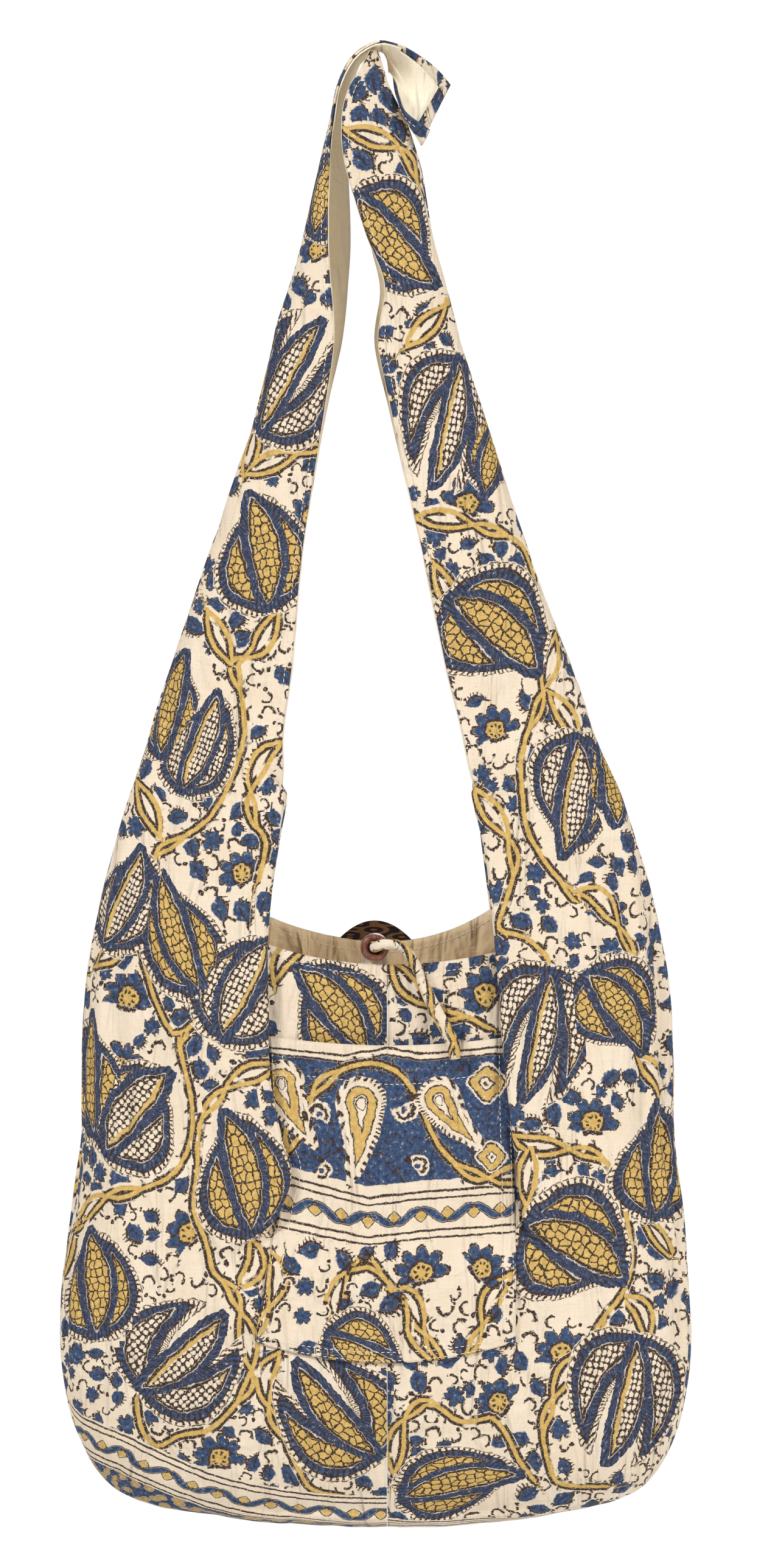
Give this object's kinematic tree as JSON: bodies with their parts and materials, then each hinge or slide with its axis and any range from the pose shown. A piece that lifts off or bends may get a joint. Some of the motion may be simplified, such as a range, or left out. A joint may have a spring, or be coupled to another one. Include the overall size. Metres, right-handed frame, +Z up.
{
  "type": "jhola sling bag",
  "caption": "Soft cotton sling bag with a block-printed outside, a plain lining, a patch pocket, a broad strap of one piece with the sack and a wooden toggle bead on a cloth tie.",
  "frame": {"origin": "underside of the strap at its crown, where the bag hangs", "axes": "+Z up, the front with the pocket faces -Y, +X to the right seen from the front"},
  "size_m": [0.409, 0.1142, 0.9598],
  "materials": {
    "printed_cotton": "matte plain weave",
    "lining_cotton": "matte plain weave",
    "dark_print": "matte plain weave",
    "bead_wood": "satin turned wood"
  },
  "bodies": {
    "root": {"left_half": "printed_cotton", "left_lining": "lining_cotton", "right_half": "printed_cotton", "right_lining": "lining_cotton", "pocket": "printed_cotton", "toggle_bead": "bead_wood", "tie_cord": "printed_cotton", "tie_anchor": "printed_cotton", "loop_tab": "dark_print"}
  },
  "joints": []
}
